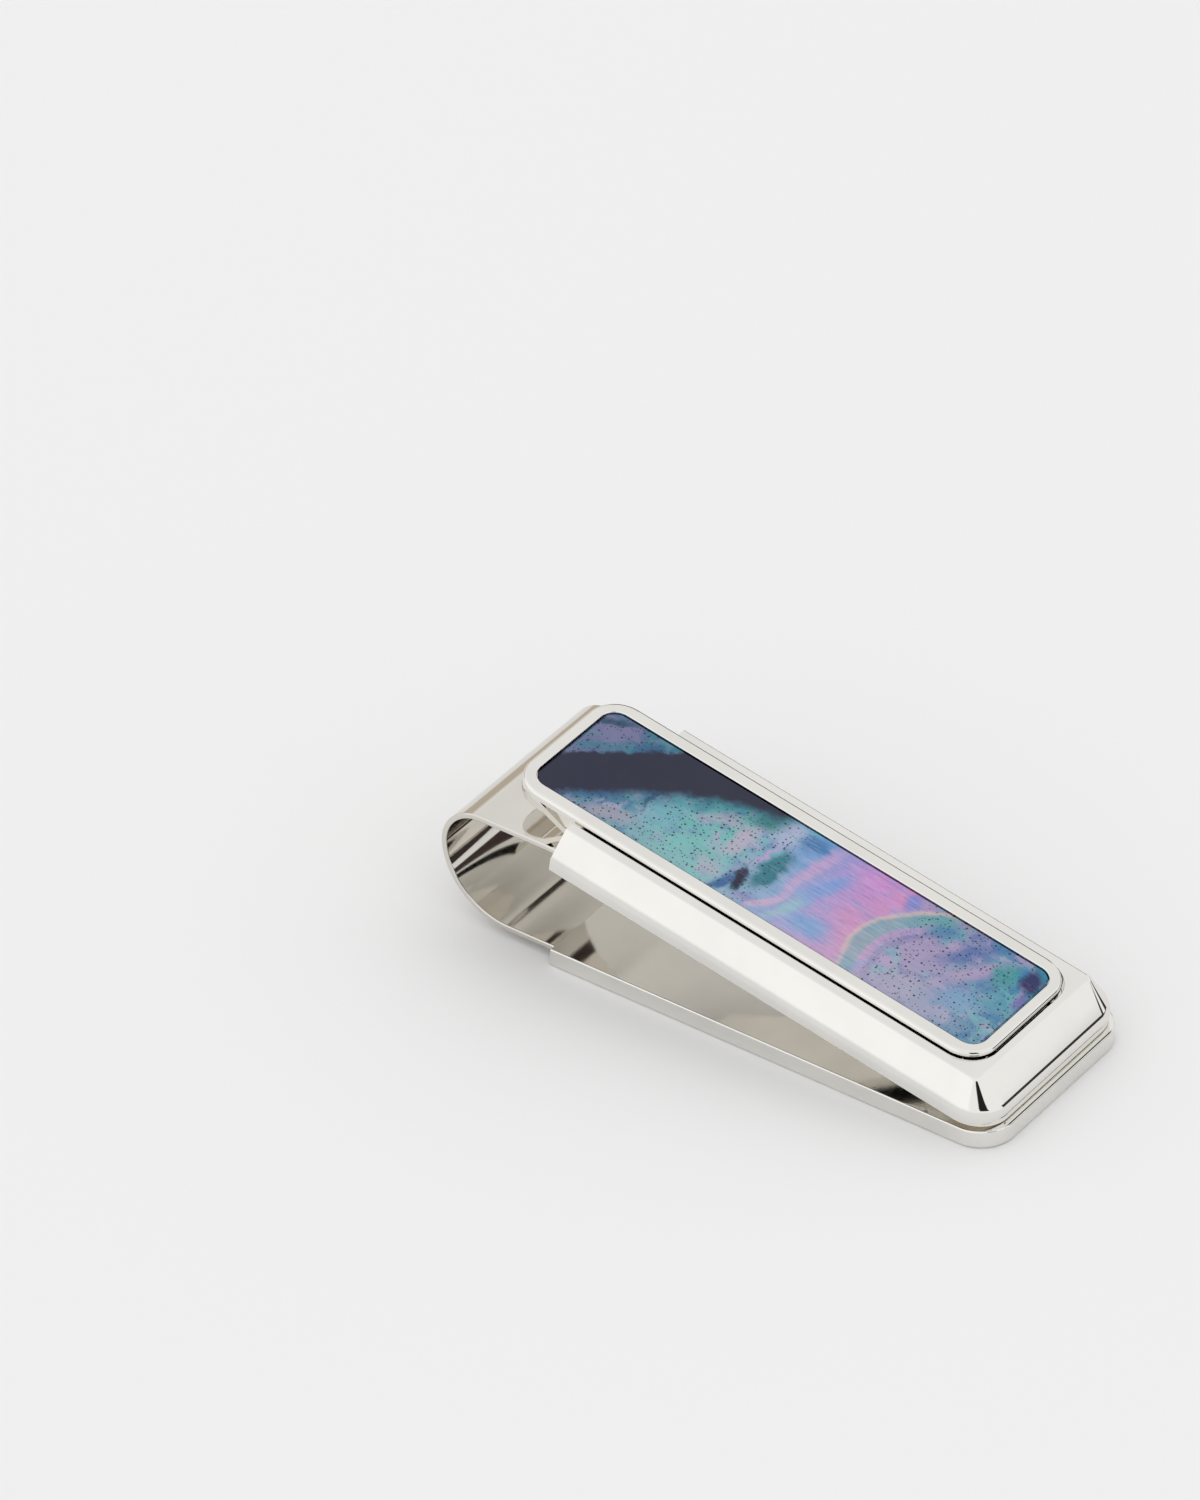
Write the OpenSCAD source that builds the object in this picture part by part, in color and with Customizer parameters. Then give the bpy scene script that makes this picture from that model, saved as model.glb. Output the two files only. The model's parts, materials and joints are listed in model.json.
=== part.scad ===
// Spring-hinged money clip with a sliding lever in each jaw.
// Millimetres. +X points to the tip of the jaws, +Z up, and the lower frame lies flat on z = 0.

/* [Jaw frames] */
// Length of each jaw frame
jaw_len = 50; // [44:0.5:56]
// Width of each jaw frame
jaw_w = 22.4; // [21:0.1:25]
// Radius of the front corners, seen from above
corner_r = 3.6; // [2:0.1:5]
// Angle of the upper jaw above the lower jaw when closed
jaw_angle = 10.8; // [8:0.1:13]
// Height of the lower frame
lower_h = 1.95; // [1.9:0.05:2.4]
// Height of the upper frame
upper_h = 3.95; // [3.8:0.05:4.4]
// Height of the upright wall under the upper frame's bevel
wall_h = 1.45; // [1:0.05:2]
// Width of the upper frame's side bevel
side_bevel = 1.95; // [1.5:0.05:2.1]
// Length of the upper frame's front bevel
front_bevel = 3.05; // [2:0.05:3.3]
// Radius of the bevel's top corners, seen from above
bevel_r = 0.5; // [0.3:0.1:1.5]
// How far the lower frame reaches past the upper one at the tip
tip_step = 0.7; // [0.3:0.1:1]
// Gap between the closed jaws at the tip
tip_gap = 0.05; // [0.05:0.01:0.2]

/* [Spring band] */
// Width of the spring band
band_w = 20.6; // [20:0.1:20.8]
// Thickness of the spring band
band_t = 0.6; // [0.5:0.05:0.6]
// Height of the band's top above the upper frame's underside
floor_h = 1.75; // [1.7:0.05:1.8]
// Distance from the lower frame's rear end to the back of the bend
bend_reach = 13.1; // [12:0.1:15]
// Outer radius of the upper half of the bend
bend_top_r = 4.75; // [4:0.05:5.5]
// Outer radius of the slight bend where the band leaves the upper frame
exit_r = 8; // [5:0.5:12]

/* [Slides] */
// Length of the upper slide
slide_len = 53.7; // [52:0.1:55]
// Width of the upper slide's bezel
bezel_w = 16; // [15.8:0.1:16]
// Height of the bezel's top above the upper frame's underside
bezel_top = 4.55; // [4.5:0.05:4.8]
// Travel of both slides, used to cut the stop grooves
travel = 23.2; // [20:0.1:24]
// Width of the rails that the frames hold
rail_w = 17.6; // [17.4:0.1:17.8]
// Length of the lower slide
lower_slide_len = 53.1; // [50:0.1:54]

/* [Inlay] */
// Length of the pearl inlay
inlay_len = 51; // [48:0.1:51.2]
// Width of the pearl inlay
inlay_w = 12.8; // [11:0.1:12.8]
// Thickness of the pearl inlay
inlay_t = 0.8; // [0.5:0.05:0.8]
// Radius of the inlay's corners
inlay_r = 1.6; // [0.5:0.1:2]

/* [Hidden] */
$fn = 48;
eps = 0.02;
cut = 1;

// the origin lies under the middle of the clip's length
x_shift = -(jaw_len - bend_reach) / 2;

// upper frame: tip of its underside, which the whole upper jaw is tilted about
tip_x = jaw_len - tip_step;
tip_z = lower_h + tip_gap;

// upper frame: slot for the slide, undercut for the slide's rail
slot_front = jaw_len - 3.8;
slot_w = bezel_w + 0.4;
lip_z = floor_h + 0.9;
channel_w = rail_w + 0.3;
channel_front = slot_front + 0.5;
floor_lip_w = 17.8;
pocket_w = band_w + 0.1;

// upper slide
slide_front = slot_front - 0.2;
slide_rear = slide_front - slide_len;
bezel_r = 3.3;
rail_r = bezel_r - 0.2;
web_r = bezel_r - 0.8;
bezel_z = 3.8;
rail_z = floor_h + 0.1;
rail_top = lip_z - 0.1;
web_w = 14.8;
rail_rear = -1;
notch_x = -4;
head_z = 2.85;
head_step = [-3.5, 2.75];

// inlay and its bed of adhesive, set in a pocket in the bezel
inlay_top = bezel_top - 0.18;
inlay_z = inlay_top - inlay_t;
bed_t = 0.1;
inlay_front = slide_front - 1.3;
inlay_gap = 0.1;

// lower frame: band pocket under a thin deck, slide channel under the band
band_z = 1.0;
lower_lip_h = 0.45;
lower_slot_w = 16.4;
lower_slot_front = jaw_len - 3.8;

// lower slide
flange_z = lower_lip_h + 0.05;
flange_top = band_z - 0.05;
lower_slide_front = lower_slot_front - 0.2;
lower_slide_rear = lower_slide_front - lower_slide_len;
lower_boss_w = lower_slot_w - 0.4;
lower_slide_z = 0.05;
head_w = 17.6;
head_front = -0.15;
head_wall_top = 0.4;
head_bevel = 0.7;
head_r = 3.6;

// spring band: its arms end inside the frames
arm_front = jaw_len - 2.4;
// where the band leaves the upper frame, and its level stretch behind the frame
exit_x = seen_x(0, floor_h);
exit_z = seen_z(0, floor_h);
level_x = exit_x - exit_r * sin(jaw_angle);
level_z = exit_z + exit_r * (1 - cos(jaw_angle));
bend_z = level_z - bend_top_r;
bend_low_r = bend_z - band_z;
bend_top_x = bend_top_r - bend_reach;
bend_low_x = bend_low_r - bend_reach;
bend_step = 3;

// a point of the upper jaw, x along it and z above its underside, seen from the lower jaw
function seen_x(x, z) = tip_x + (x - jaw_len) * cos(jaw_angle) + z * sin(jaw_angle);
function seen_z(x, z) = tip_z - (x - jaw_len) * sin(jaw_angle) + z * cos(jaw_angle);

// points of an arc in the XZ plane, from angle a0 to a1 above +X
function arc(x, z, r, a0, a1) = let (n = ceil(abs(a1 - a0) / bend_step))
    [for (i = [0 : n]) [x + r * cos(a0 + (a1 - a0) * i / n), z + r * sin(a0 + (a1 - a0) * i / n)]];

// one face of the band, from the lower arm round the bend to the upper arm; t is its depth inside the bend
function band_face(t) = concat(
    [[arm_front, band_z + t]],
    arc(bend_low_x, bend_z, bend_low_r - t, 270, 180 + bend_step / 2),
    arc(bend_top_x, bend_z, bend_top_r - t, 180, 90),
    arc(level_x, level_z - exit_r, exit_r - t, 90, 90 - jaw_angle),
    [[seen_x(arm_front, floor_h - t), seen_z(arm_front, floor_h - t)]]
);

// rivets through the band's edges, and the pins that stop the slides
rivet_r = 0.35;
rivet_y = 9.55;
rivet_xs = [6, 42];
rivet_h = 2.3;
lower_rivet_h = 1.7;
stop_r = 0.28;
stop_x = 20;
stop_y = 8.4;
stop_h = 0.45;
stop_groove = 0.55;
hole_gap = 0.01;

// bowed leaf springs that hold the slides by friction
leaf_x = 38;
leaf_len = 9;
leaf_w = 4;
leaf_t = 0.15;
leaf_room = 0.75;
lower_leaf_floor = flange_z - 0.1;

// a rounded rectangle from x0 to x1, with its corners rounded at both ends
module round_plate(x0, x1, w, r, z0, z1) {
    translate([0, 0, z0]) linear_extrude(z1 - z0) union() {
        translate([x0 + r, -w / 2]) square([x1 - x0 - 2 * r, w]);
        translate([x0, r - w / 2]) square([x1 - x0, w - 2 * r]);
        for (x = [x0 + r, x1 - r], y = [r - w / 2, w / 2 - r]) translate([x, y]) circle(r);
    }
}

// a frame's outline: rounded at the front, square at the rear
module frame_plate(inset, front_inset, r, z0, z1) {
    x1 = jaw_len - front_inset;
    w = jaw_w - 2 * inset;
    translate([0, 0, z0]) linear_extrude(z1 - z0) union() {
        translate([0, -w / 2]) square([x1 - r, w]);
        translate([0, r - w / 2]) square([x1, w - 2 * r]);
        for (y = [r - w / 2, w / 2 - r]) translate([x1 - r, y]) circle(r, $fn = 32);
    }
}

// a slot open to the rear, with round front corners
module slot_cut(x1, w, r, z0, z1) {
    round_plate(-10, x1, w, r, z0, z1);
}

// puts a shape made along the upper frame's own underside into its place
module on_upper_jaw() {
    translate([x_shift + tip_x, 0, tip_z]) rotate([0, jaw_angle, 0]) translate([-jaw_len, 0, 0]) children();
}

module on_lower_jaw() {
    translate([x_shift, 0, 0]) children();
}

module at_both_sides(y) {
    for (s = [-1, 1]) translate([0, s * y, 0]) children();
}

module at_rivets() {
    for (x = rivet_xs) translate([x, 0, 0]) at_both_sides(rivet_y) children();
}

// a leaf bowed like a low arch, with its ends up at z_ends and its middle down at z_mid
module bowed_leaf(z_ends, z_mid) {
    rise = z_ends - z_mid;
    r = (leaf_len * leaf_len / 4 + rise * rise) / (2 * rise);
    half = asin(leaf_len / 2 / r);
    translate([leaf_x, leaf_w / 2, z_mid + r]) rotate([90, 0, 0]) rotate([0, 0, -90 - half])
        rotate_extrude(angle = 2 * half, $fn = 180) translate([r - leaf_t, 0]) square([leaf_t, leaf_w]);
}

module lower_frame() color("silver") on_lower_jaw() difference() {
    frame_plate(0, 0, corner_r, 0, lower_h);
    translate([-cut, -pocket_w / 2, band_z - eps]) cube([arm_front + cut + 0.1, pocket_w, band_t + 2 * eps]);
    slot_cut(lower_slot_front + 0.3, rail_w + 0.3, 2.6, lower_lip_h, band_z);
    slot_cut(lower_slot_front, lower_slot_w, 2.6, -cut, lower_lip_h + eps);
    at_rivets() translate([0, 0, -cut]) cylinder(h = lower_rivet_h + cut, r = rivet_r + hole_gap);
}

module lower_rivets() color("gainsboro") on_lower_jaw() at_rivets()
    cylinder(h = lower_rivet_h - eps, r = rivet_r);

module lower_stop_pins() color("gainsboro") on_lower_jaw() translate([stop_x, 0, 0]) at_both_sides(stop_y)
    translate([0, 0, band_z - stop_h / 2]) cylinder(h = band_t + stop_h / 2 - eps, r = stop_r);

module spring_band() color("lightgray") difference() {
    outside = band_face(0);
    inside = band_face(band_t);
    on_lower_jaw() rotate([90, 0, 0]) linear_extrude(band_w, center = true)
        polygon(concat(outside, [for (i = [len(inside) - 1 : -1 : 0]) inside[i]]));
    on_lower_jaw() band_holes(2 * lower_h);
    on_upper_jaw() band_holes(upper_h);
}

module band_holes(h) {
    at_rivets() cylinder(h = h, r = rivet_r + hole_gap);
    translate([stop_x, 0, 0]) at_both_sides(stop_y) cylinder(h = h, r = stop_r + hole_gap);
}

module lower_slide() color("lightgray") on_lower_jaw() difference() {
    union() {
        round_plate(head_front - 2, lower_slide_front + 0.2, rail_w, 1.9, flange_z, flange_top);
        round_plate(head_front - 2, lower_slide_front, lower_boss_w, 1.9, lower_slide_z, flange_z + eps);
        lower_head();
    }
    stop_grooves(flange_top - stop_groove / 2, flange_top + cut);
    leaf_pocket(lower_leaf_floor, lower_leaf_floor + cut);
}

// the lower slide's thumb pad: rounded at the rear corners, with its top edge bevelled
module lower_head() intersection() {
    hull() {
        round_plate(lower_slide_rear, head_r + 1, head_w, head_r, lower_slide_z, head_wall_top);
        round_plate(lower_slide_rear + head_bevel, head_r, head_w - 2 * head_bevel, head_r - head_bevel,
            flange_top - eps, flange_top);
    }
    translate([lower_slide_rear - cut, -head_w, 0])
        cube([head_front - lower_slide_rear + cut, 2 * head_w, cut]);
}

// grooves in a slide's edges that the stop pins run in
module stop_grooves(z0, z1) {
    x0 = stop_x - stop_r - 0.1;
    at_both_sides(stop_y) translate([x0, -stop_r - 0.1, z0])
        cube([travel + 2 * stop_r + 0.2, rail_w, z1 - z0]);
}

// the pocket in a slide that its leaf spring sits in
module leaf_pocket(z0, z1) {
    translate([leaf_x - leaf_len / 2 - 0.5, -leaf_w / 2 - 0.2, z0])
        cube([leaf_len + 1, leaf_w + 0.4, z1 - z0]);
}

module lower_slide_spring() color("darkgray") on_lower_jaw()
    mirror([0, 0, 1]) bowed_leaf(-lower_leaf_floor - leaf_t - eps, -flange_top - 0.02);

module upper_frame() color("silver") on_upper_jaw() difference() {
    hull() {
        frame_plate(0, 0, corner_r, 0, wall_h);
        frame_plate(side_bevel, front_bevel, bevel_r, upper_h - 0.05, upper_h);
    }
    slot_cut(slot_front, slot_w, bezel_r + 0.1, floor_h, upper_h + cut);
    slot_cut(channel_front, channel_w, bezel_r, floor_h - eps, lip_z);
    translate([-cut, -pocket_w / 2, floor_h - band_t - eps])
        cube([arm_front + cut + 0.1, pocket_w, band_t + 2 * eps]);
    slot_cut(slot_front - 0.5, floor_lip_w, 2.5, -cut, floor_h - band_t);
    at_rivets() translate([0, 0, -cut]) cylinder(h = rivet_h + cut, r = rivet_r + hole_gap);
}

module upper_rivets() color("gainsboro") on_upper_jaw() at_rivets()
    cylinder(h = rivet_h - eps, r = rivet_r);

module upper_stop_pins() color("gainsboro") on_upper_jaw() translate([stop_x, 0, 0]) at_both_sides(stop_y)
    translate([0, 0, floor_h - band_t + eps]) cylinder(h = band_t + stop_h, r = stop_r);

module upper_slide() color("silver") on_upper_jaw() difference() {
    union() {
        round_plate(slide_rear, slide_front, bezel_w, bezel_r, bezel_z, bezel_top);
        round_plate(notch_x, slide_front - 0.3, web_w, web_r, rail_z, bezel_z + eps);
        round_plate(rail_rear, slide_front + 0.4, rail_w, rail_r, rail_z, rail_top);
        slide_head();
    }
    round_plate(inlay_front - inlay_len - inlay_gap, inlay_front + inlay_gap, inlay_w + 2 * inlay_gap,
        inlay_r + inlay_gap, inlay_z - bed_t, bezel_top + cut);
    stop_grooves(rail_z - cut, floor_h + stop_h + 0.1);
    leaf_pocket(rail_z - cut, rail_z + leaf_room);
}

// the thick thumb end behind the upper frame: its underside steps up behind the rail
module slide_head() intersection() {
    round_plate(slide_rear, 5, bezel_w, bezel_r, 0, bezel_top);
    translate([0, bezel_w, 0]) rotate([90, 0, 0]) linear_extrude(2 * bezel_w) polygon([
        [slide_rear - cut, bezel_top - 0.1], [slide_rear - cut, head_z], head_step, [rail_rear, rail_z],
        [-0.2, rail_z], [-0.2, rail_top - 0.2], [rail_rear, rail_top], [notch_x, bezel_z + eps],
        [notch_x, bezel_top - 0.1]
    ]);
}

module upper_slide_spring() color("darkgray") on_upper_jaw()
    bowed_leaf(rail_z + leaf_room - leaf_t - eps, floor_h + 0.03);

module inlay_bed() color("peru") on_upper_jaw()
    round_plate(inlay_front - inlay_len, inlay_front, inlay_w, inlay_r, inlay_z - bed_t, inlay_z);

module pearl_inlay() color("mediumaquamarine") on_upper_jaw()
    round_plate(inlay_front - inlay_len, inlay_front, inlay_w, inlay_r, inlay_z, inlay_top);

lower_frame();
lower_rivets();
lower_stop_pins();
spring_band();
lower_slide();
lower_slide_spring();
upper_frame();
upper_rivets();
upper_stop_pins();
upper_slide();
upper_slide_spring();
inlay_bed();
pearl_inlay();
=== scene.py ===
"""A spring-hinged money clip with a sliding lever in each jaw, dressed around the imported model."""

import json
import math

import bmesh
import bpy
import numpy as np
from mathutils import Matrix, Vector


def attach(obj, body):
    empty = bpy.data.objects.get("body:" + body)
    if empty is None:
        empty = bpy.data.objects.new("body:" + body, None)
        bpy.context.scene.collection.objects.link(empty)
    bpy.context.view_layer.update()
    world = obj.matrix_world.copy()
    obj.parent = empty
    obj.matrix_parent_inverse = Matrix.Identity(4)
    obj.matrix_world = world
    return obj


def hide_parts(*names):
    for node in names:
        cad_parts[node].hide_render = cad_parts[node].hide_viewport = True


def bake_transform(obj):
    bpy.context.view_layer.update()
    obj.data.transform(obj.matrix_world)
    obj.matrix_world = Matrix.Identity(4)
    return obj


MM = 0.001

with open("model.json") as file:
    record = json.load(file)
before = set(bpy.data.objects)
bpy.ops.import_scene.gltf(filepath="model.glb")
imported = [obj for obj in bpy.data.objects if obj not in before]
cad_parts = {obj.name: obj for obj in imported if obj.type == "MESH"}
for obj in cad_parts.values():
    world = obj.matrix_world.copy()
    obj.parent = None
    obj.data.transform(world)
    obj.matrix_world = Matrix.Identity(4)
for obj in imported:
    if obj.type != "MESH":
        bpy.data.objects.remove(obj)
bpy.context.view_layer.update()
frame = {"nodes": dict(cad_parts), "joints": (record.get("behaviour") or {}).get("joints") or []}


# ------------------------------ places taken from the frame


def joint(name):
    return next(j for j in frame["joints"] if j["name"] == name)


def box_along(node, axes):
    """Lowest and highest corners of a CAD node in mm, measured along the given axes."""
    points = np.array([v.co for v in frame["nodes"][node].data.vertices]) / MM
    local = points @ np.array(axes.to_3x3())
    return local.min(0), local.max(0)


slide_axis = joint("upper_slide_travel")["axis"]
JAW_ANGLE = math.atan2(slide_axis[2], -slide_axis[0])
LEVEL = Matrix.Identity(4)
TILTED = Matrix.Rotation(JAW_ANGLE, 4, "Y")

lower_lo, lower_hi = box_along("lower_frame", LEVEL)
upper_lo, upper_hi = box_along("upper_frame", TILTED)
slide_lo, slide_hi = box_along("upper_slide", TILTED) - np.array(upper_lo) * [1, 0, 1]
inlay_lo, inlay_hi = box_along("pearl_inlay", TILTED) - np.array(upper_lo) * [1, 0, 1]
lower_slide_lo, lower_slide_hi = box_along("lower_slide", LEVEL) - lower_lo * [1, 0, 1]
band_lo, band_hi = box_along("spring_band", LEVEL) - lower_lo * [1, 0, 0]

# a jaw's own axes: x in mm from the rear end of its frame to the tip, z from the frame's underside
LOWER_PLACE = Matrix.Translation(Vector((lower_lo[0], 0, 0)) * MM)
UPPER_PLACE = TILTED @ Matrix.Translation(Vector((upper_lo[0], 0, upper_lo[2])) * MM)

JAW_LEN = upper_hi[0] - upper_lo[0]
HALF_W = upper_hi[1]
UPPER_H = upper_hi[2] - upper_lo[2]
LOWER_H = lower_hi[2]

# ------------------------------ sizes in mm that a node's box doesn't tell

# both frames: the outline, the slot with its wider channel, and the pocket that holds the band's arm
CORNER_R = 3.6
SLOT_HALF = 8.2
SLOT_FRONT = JAW_LEN - 3.8
CHANNEL_HALF = 8.95
POCKET_HALF = 10.35
POCKET_FRONT = JAW_LEN - 2.3
POCKET_R = 0.4
FIT_GAP = 0.02
RIVET_XS = (6, 42)
RIVET_Y = 9.55
RIVET_R = 0.36

# the lower frame: its slot's corners and lip
LOWER_SLOT_R = 2.6
LOWER_LIP_Z = 0.45

# the upper frame: wall and bevels, the slot's lip and floor, and the opening underneath
WALL_H = 1.45
SIDE_BEVEL = 1.95
FRONT_BEVEL = 3.05
BEVEL_R = 0.5
LIP_Z = 2.65
FLOOR_H = 1.75
UNDER_HALF = 8.9
UNDER_R = 2.5

# the band: thickness, height in the lower frame, radii of its bends, x of an arm's points in its jaw
BAND_T = 0.6
BAND_Z = 1.0
BEND_TOP_R = 4.75
EXIT_R = 8
ARM_XS = (2, 10, 30, JAW_LEN - 2.4)

# both slides: the part in the slot, the part in the channel, the stop grooves and the leaf spring's pocket
SLIDE_HALF = 8.0
SLIDE_GAP = 0.2
RAIL_HALF = 8.8
STOP_X = 20
TRAVEL = 23.2
GROOVE_XS = (STOP_X - 0.38, STOP_X + TRAVEL + 0.58)
GROOVE_YS = (8.02, 10)
LEAF_XS = (33, 43)
LEAF_HALF = 2.2

# the upper slide: bezel, web, rails, notch, the step up to the head, and the inlay's pocket
BEZEL_R = 3.3
BEZEL_Z = 3.8
WEB_HALF = 7.4
WEB_R = 2
WEB_INSET = 0.3
RAIL_Z = 1.85
RAIL_TOP = 2.55
RAIL_R = 2.9
RAIL_REACH = 0.4
RAIL_CORNER_X = 1.9
RAIL_REAR = -1
NOTCH_X = -4
STEP_X = -3.5
STEP_Z = 2.75
HEAD_Z = 2.85
INLAY_R = 1.6
INLAY_GAP = 0.1
BED_T = 0.1

# the lower slide: its flange, its head behind the frame and its front corners
LOWER_FLANGE_Z = 0.5
LOWER_HEAD_R = 3.6
LOWER_HEAD_BEVEL = 0.7
LOWER_HEAD_END = -0.15
LOWER_FRONT_R = 1.9

# how finely arcs, the band's bends and rounded edges are divided
ARC_STEPS = 14
BEND_STEPS = 40
EXIT_STEPS = 8
ROUND_SEGMENTS = 4
SHARP_ANGLE = math.radians(38)


# ------------------------------ mesh making


def arc(cx, cy, r, start, end, steps=ARC_STEPS):
    """Points of an arc in a plane, with its angles in degrees."""
    angles = np.radians(np.linspace(start, end, steps + 1))
    return [(cx + r * math.cos(a), cy + r * math.sin(a)) for a in angles]


def open_outline(half, front, r, z):
    """A U seen from above: along the near side, round the front and back along the far side."""
    points = [(0.0, -half)]
    points += arc(front - r, r - half, r, -90, 0)
    points += arc(front - r, half - r, r, 0, 90)
    points += [(0.0, half)]
    return [(x, y, z) for x, y in points]


def closed_outline(half, rear, front, r, z):
    """A rounded rectangle seen from above, anticlockwise from the near side's rear."""
    points = arc(rear + r, r - half, r, 180, 270)
    points += arc(front - r, r - half, r, -90, 0)
    points += arc(front - r, half - r, r, 0, 90)
    points += arc(rear + r, half - r, r, 90, 180)
    return [(x, y, z) for x, y in points]


def pairs_along(line, loop):
    """Neighbours along a line, with its last and first ones if it is a loop."""
    return list(zip(line, line[1:])) + ([(line[-1], line[0])] if loop else [])


def join_rings(bm, grid, ring_loop, station_loop):
    """Adds the quads between neighbouring rings, and the flat faces that close what isn't a loop."""
    stations = len(grid[0])
    for a, b in pairs_along(grid, ring_loop):
        for j, k in pairs_along(range(stations), station_loop):
            bm.faces.new((a[j], a[k], b[k], b[j]))
    if not ring_loop:
        for ring in (grid[0], grid[-1]):
            for i in range(stations // 2 - 1):
                bm.faces.new((ring[i], ring[i + 1], ring[stations - 2 - i], ring[stations - 1 - i]))
    if not station_loop:
        near, far = [ring[0] for ring in grid], [ring[-1] for ring in grid]
        if ring_loop:
            bm.faces.new(near)
            bm.faces.new(far[::-1])
        else:
            bm.faces.new(near + far[::-1])


def rounded_edges(grid, radii, ring_loop, station_loop, end_radius):
    """The edges that get rounded, as two vertices and a radius."""
    rounds = []
    for ring, radius in zip(grid, radii):
        rounds += [(a, b, radius) for a, b in pairs_along(ring, station_loop)]
        if not station_loop and not ring_loop and ring in (grid[0], grid[-1]):
            rounds.append((ring[0], ring[-1], radius))
    if not station_loop:
        for column in ([ring[0] for ring in grid], [ring[-1] for ring in grid]):
            rounds += [(a, b, end_radius) for a, b in pairs_along(column, ring_loop)]
    return rounds


def skin(rings, radii, ring_loop, station_loop, end_radius=0.0):
    """A solid whose rings are joined by quads, and its biggest radius. radii rounds the edges of each ring.
    ring_loop joins the last ring to the first, and station_loop joins each ring's ends."""
    bm = bmesh.new()
    weight = bm.edges.layers.float.new("bevel_weight_edge")
    grid = [[bm.verts.new(p) for p in ring] for ring in rings]
    join_rings(bm, grid, ring_loop, station_loop)
    biggest = max(max(radii), end_radius)
    for a, b, radius in rounded_edges(grid, radii, ring_loop, station_loop, end_radius):
        edge = bm.edges.get((a, b))
        if edge is not None:
            edge[weight] = radius / biggest
    bmesh.ops.remove_doubles(bm, verts=bm.verts[:], dist=1e-5)
    bmesh.ops.recalc_face_normals(bm, faces=bm.faces[:])
    return bm, biggest


def settle(obj):
    """Makes what the modifiers give the object's own mesh."""
    bpy.context.view_layer.update()
    graph = bpy.context.evaluated_depsgraph_get()
    mesh = bpy.data.meshes.new_from_object(
        obj.evaluated_get(graph), preserve_all_data_layers=True, depsgraph=graph
    )
    obj.modifiers.clear()
    obj.data = mesh


def cut(obj, cutters):
    """Cuts each closed shape in cutters, given as a bmesh in the object's own axes, out of it."""
    for shape in cutters:
        tool = bpy.data.objects.new("cutter", bpy.data.meshes.new("cutter"))
        bpy.context.scene.collection.objects.link(tool)
        shape.to_mesh(tool.data)
        shape.free()
        tool.matrix_world = obj.matrix_world
        modifier = obj.modifiers.new("cut", "BOOLEAN")
        modifier.operation, modifier.solver, modifier.object = "DIFFERENCE", "EXACT", tool
        settle(obj)
        bpy.data.objects.remove(tool)


def make(name, solid, place, material, body, stands_for, cutters=()):
    """A finished piece: rounds the solid's edges, cuts its holes, evens its shading and rides it on its body.
    A piece without a body is left unattached."""
    bm, radius = solid
    for v in bm.verts:
        v.co *= MM
    mesh = bpy.data.meshes.new(name)
    bm.to_mesh(mesh)
    bm.free()
    obj = bpy.data.objects.new(name, mesh)
    bpy.context.scene.collection.objects.link(obj)
    obj.matrix_world = place
    bevel = obj.modifiers.new("round", "BEVEL")
    bevel.limit_method, bevel.width, bevel.segments = "WEIGHT", radius * MM, ROUND_SEGMENTS
    bevel.use_clamp_overlap = False
    settle(obj)
    cut(obj, cutters)
    for polygon in obj.data.polygons:
        polygon.use_smooth = True
    obj.data.set_sharp_from_angle(angle=SHARP_ANGLE)
    even = obj.modifiers.new("even", "WEIGHTED_NORMAL")
    even.mode, even.weight, even.keep_sharp = "FACE_AREA", 50, True
    settle(obj)
    obj.data.materials.clear()
    obj.data.materials.append(material)
    if body:
        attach(obj, body)
    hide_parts(stands_for)
    return obj


def block(lo, hi):
    """A box between two corners in mm, used to cut pockets."""
    bm = bmesh.new()
    middle = (Vector(lo) + Vector(hi)) / 2 * MM
    size = (Vector(hi) - Vector(lo)) * MM
    bmesh.ops.create_cube(bm, size=1, matrix=Matrix.Translation(middle) @ Matrix.Diagonal((*size, 1)))
    return bm


def drill(x, y, z0, z1, r):
    """An upright drilled hole."""
    bm = bmesh.new()
    bmesh.ops.create_cone(
        bm,
        cap_ends=True,
        segments=32,
        radius1=r * MM,
        radius2=r * MM,
        depth=(z1 - z0) * MM,
        matrix=Matrix.Translation(Vector((x, y, (z0 + z1) / 2)) * MM),
    )
    return bm


def slide_pockets(groove_zs, leaf_zs):
    """The grooves that the stop pins run in, at a slide's edges, and the pocket of its leaf spring."""
    x0, x1 = GROOVE_XS
    y0, y1 = GROOVE_YS
    z0, z1 = groove_zs
    near = block((x0, -y1, z0), (x1, -y0, z1))
    far = block((x0, y0, z0), (x1, y1, z1))
    leaf = block((LEAF_XS[0], -LEAF_HALF, leaf_zs[0]), (LEAF_XS[1], LEAF_HALF, leaf_zs[1]))
    return [far, near, leaf]


def rivet_holes(top):
    """The holes of a frame's rivets, from below the frame up to top."""
    return [drill(x, y, -1, top, RIVET_R) for x in RIVET_XS for y in (-RIVET_Y, RIVET_Y)]


# ------------------------------ shader helpers


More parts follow.
